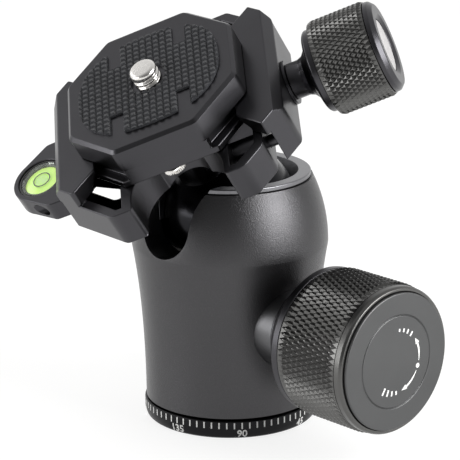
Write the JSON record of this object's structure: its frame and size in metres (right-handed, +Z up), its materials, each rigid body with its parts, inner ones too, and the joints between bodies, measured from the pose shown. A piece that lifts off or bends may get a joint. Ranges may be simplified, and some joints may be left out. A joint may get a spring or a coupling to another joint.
{
  "type": "tripod ball head",
  "caption": "Compact tripod ball head: panning base with a degree ring, lockable ball with a drop notch, and a dovetail clamp with quick plate and spirit level.",
  "frame": {"origin": "centre of the underside of the base, on the panning axis", "axes": "+Z up along the panning axis; +Y towards the panning lock knob"},
  "size_m": [0.0975, 0.0842, 0.1015],
  "materials": {
    "black_anodised": "fine satin black anodised aluminium",
    "housing_finish": "fine-grained matt black coating",
    "knurled_black": "diamond-knurled black anodised aluminium",
    "face_grey": "satin dark grey anodised face",
    "collar_grey": "turned satin grey aluminium",
    "polished_ball": "polished black anodised aluminium",
    "steel": "turned stainless steel",
    "brass": "turned brass",
    "polymer": "low-friction polymer",
    "rubber": "diamond-textured black rubber",
    "bright_disc": "bright anodised aluminium",
    "level_green": "clear yellow-green liquid",
    "level_black": "black moulded cup",
    "clear": "clear acrylic window"
  },
  "bodies": {
    "base": {"degree_base": "black_anodised", "tripod_bush": "steel", "pan_washer_lower": "polymer", "pan_washer_upper": "polymer", "axle_nut": "steel"},
    "housing": {"housing": "housing_finish", "collar": "collar_grey", "lock_bush": "black_anodised"},
    "wedge": {"wedge_pin": "brass"},
    "lock_knob": {"lock_spindle": "steel", "lock_washer": "black_anodised", "lock_knob_core": "black_anodised", "lock_knob_grip": "knurled_black", "lock_knob_bezel": "black_anodised", "lock_knob_face": "face_grey"},
    "cup": {"pressure_cup": "polymer"},
    "pan_pad": {"pan_brake_pad": "brass"},
    "pan_knob": {"pan_screw": "steel", "pan_knob_core": "black_anodised", "pan_knob_grip": "knurled_black", "pan_knob_face": "face_grey"},
    "socket": {"socket_ring": "polymer"},
    "ball": {"ball_stem": "polished_ball", "clamp_bolt": "steel"},
    "clamp": {"clamp_base": "black_anodised", "level_cup": "level_black", "level_liquid": "level_green", "level_window": "clear", "level_set_screw": "black_anodised"},
    "jaw": {"moving_jaw": "black_anodised", "guide_rods": "steel"},
    "clamp_knob": {"clamp_screw": "steel", "clamp_washer": "black_anodised", "clamp_knob_core": "black_anodised", "clamp_knob_grip": "knurled_black", "clamp_knob_disc": "bright_disc"},
    "plate": {"quick_plate": "black_anodised", "plate_pad": "rubber", "stop_screws": "steel", "camera_screw_clip": "steel"},
    "camera_screw": {"camera_screw": "steel"}
  },
  "joints": [
    {"name": "pan", "type": "hinge", "parent": "base", "child": "housing", "pos_m": [0, 0, 0], "axis": [0, 0, 1], "continuous": true},
    {"name": "lock_travel", "type": "slide", "parent": "housing", "child": "wedge", "axis": [0.6711, -0.7414, 0], "range_m": [0, 0.00125]},
    {"name": "lock_turn", "type": "hinge", "parent": "wedge", "child": "lock_knob", "pos_m": [0, 0, 0.0254], "axis": [0.6711, -0.7414, 0], "range_deg": [0, 360]},
    {"name": "cup_travel", "type": "slide", "parent": "housing", "child": "cup", "axis": [0, 0, 1], "range_m": [-0.00045496, 0]},
    {"name": "pan_pad_travel", "type": "slide", "parent": "housing", "child": "pan_pad", "axis": [0, 1, 0], "range_m": [0, 0.0004]},
    {"name": "pan_lock_turn", "type": "hinge", "parent": "pan_pad", "child": "pan_knob", "pos_m": [0, 0, 0.0105], "axis": [0, 1, 0], "range_deg": [0, 180]},
    {"name": "side_tilt", "type": "hinge", "parent": "housing", "child": "socket", "pos_m": [0, 0, 0.04946], "axis": [-0.6866, -0.7271, 0], "range_deg": [-14, 14]},
    {"name": "tilt", "type": "hinge", "parent": "socket", "child": "ball", "pos_m": [0, 0, 0.04946], "axis": [0.7271, -0.6866, 0], "range_deg": [-72.4, 53.6]},
    {"name": "clamp_turn", "type": "hinge", "parent": "ball", "child": "clamp", "pos_m": [0, 0, 0.04946], "axis": [-0.4074, -0.4314, 0.8049], "continuous": true},
    {"name": "jaw_travel", "type": "slide", "parent": "clamp", "child": "jaw", "axis": [0.9111, -0.1321, 0.3904], "range_m": [0, 0.004]},
    {"name": "clamp_knob_turn", "type": "hinge", "parent": "jaw", "child": "clamp_knob", "pos_m": [-0.01147, -0.01214, 0.07211], "axis": [0.9111, -0.1321, 0.3904], "range_deg": [0, 960]},
    {"name": "plate_slide", "type": "slide", "parent": "clamp", "child": "plate", "axis": [-0.0621, 0.8924, 0.4469], "range_m": [-0.003, 0.003]},
    {"name": "camera_screw_turn", "type": "hinge", "parent": "plate", "child": "camera_screw", "pos_m": [0, 0, 0.04946], "axis": [-0.4074, -0.4314, 0.8049], "continuous": true}
  ],
  "couplings": [
    {"joint": "lock_turn", "follows": "lock_travel", "rad_per_m": 5026.5},
    {"joint": "cup_travel", "follows": "lock_travel", "ratio": -0.36397},
    {"joint": "pan_lock_turn", "follows": "pan_pad_travel", "rad_per_m": 7854},
    {"joint": "clamp_knob_turn", "follows": "jaw_travel", "rad_per_m": 4188.8}
  ]
}
